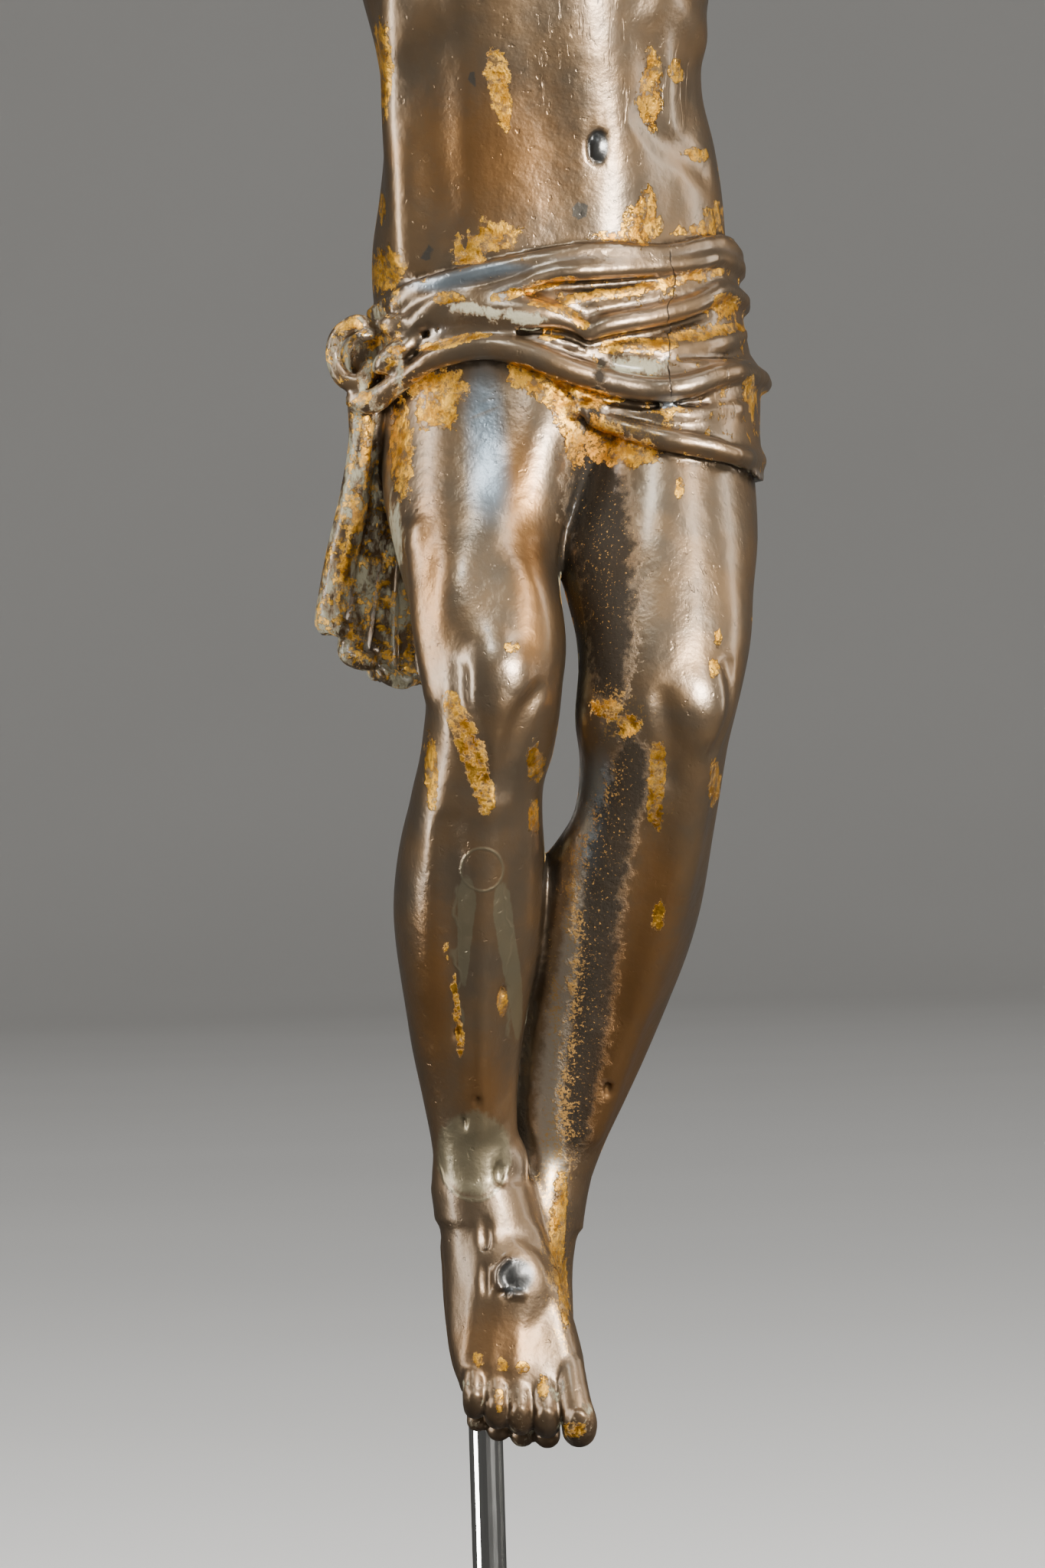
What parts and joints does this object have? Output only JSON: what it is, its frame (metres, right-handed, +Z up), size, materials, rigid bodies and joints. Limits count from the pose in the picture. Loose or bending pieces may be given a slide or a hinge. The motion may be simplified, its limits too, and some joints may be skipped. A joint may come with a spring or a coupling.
{
  "type": "crucifix corpus",
  "caption": "Cast and gilt corpus figure with raised arms, bowed head, knotted loincloth and crossed feet, held up by a polished rod that stands in a round foot.",
  "frame": {"origin": "centre of the foot's underside, on the surface that it stands on", "axes": "+Z up, -Y is where the figure faces, +X is the figure's left side"},
  "size_m": [0.2717, 0.12, 0.3505],
  "materials": {
    "gilt_bronze": "cast bronze, dark brown and semi-gloss, with worn gilding left in patches and hollows",
    "polished_steel": "polished bright",
    "black_enamel": "satin black enamel on steel"
  },
  "bodies": {
    "root": {"corpus": "gilt_bronze", "stand_rod": "polished_steel", "stand_foot": "black_enamel"}
  },
  "joints": []
}
